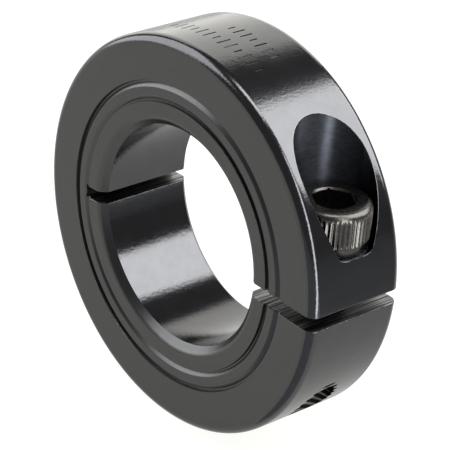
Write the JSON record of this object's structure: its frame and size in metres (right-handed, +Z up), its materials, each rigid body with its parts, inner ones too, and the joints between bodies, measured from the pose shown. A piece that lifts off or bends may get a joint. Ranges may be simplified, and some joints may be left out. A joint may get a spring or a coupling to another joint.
{
  "type": "shaft collar",
  "caption": "One-piece clamp shaft collar: a slit steel ring that a recessed socket head cap screw squeezes onto a round shaft.",
  "frame": {"origin": "on the bore axis, half way through the ring", "axes": "+Y along the bore axis towards the plain back face, -Y towards the grooved front face, +X towards the clamp slit, +Z up, towards the screw's head"},
  "size_m": [0.054, 0.015, 0.054],
  "materials": {
    "ring_steel": "glossy black oxide over turned and milled steel",
    "screw_steel": "black oxide with a knurled head and worn brownish grey crests"
  },
  "bodies": {
    "lower_jaw": {"lower_jaw": "ring_steel"},
    "upper_jaw": {"upper_jaw": "ring_steel"},
    "clamp_screw": {"clamp_screw": "screw_steel"}
  },
  "joints": [
    {"name": "jaw_flex", "type": "hinge", "parent": "lower_jaw", "child": "upper_jaw", "pos_m": [-0.02281, 0, -0.00172], "axis": [0, 1, 0], "range_deg": [0, 0.7]},
    {"name": "screw_turn", "type": "hinge", "parent": "upper_jaw", "child": "clamp_screw", "pos_m": [0.021, 0, 0.0073], "axis": [0, 0, -1], "range_deg": [0, 180]}
  ],
  "couplings": [
    {"joint": "jaw_flex", "follows": "screw_turn", "ratio": 0.003633}
  ]
}
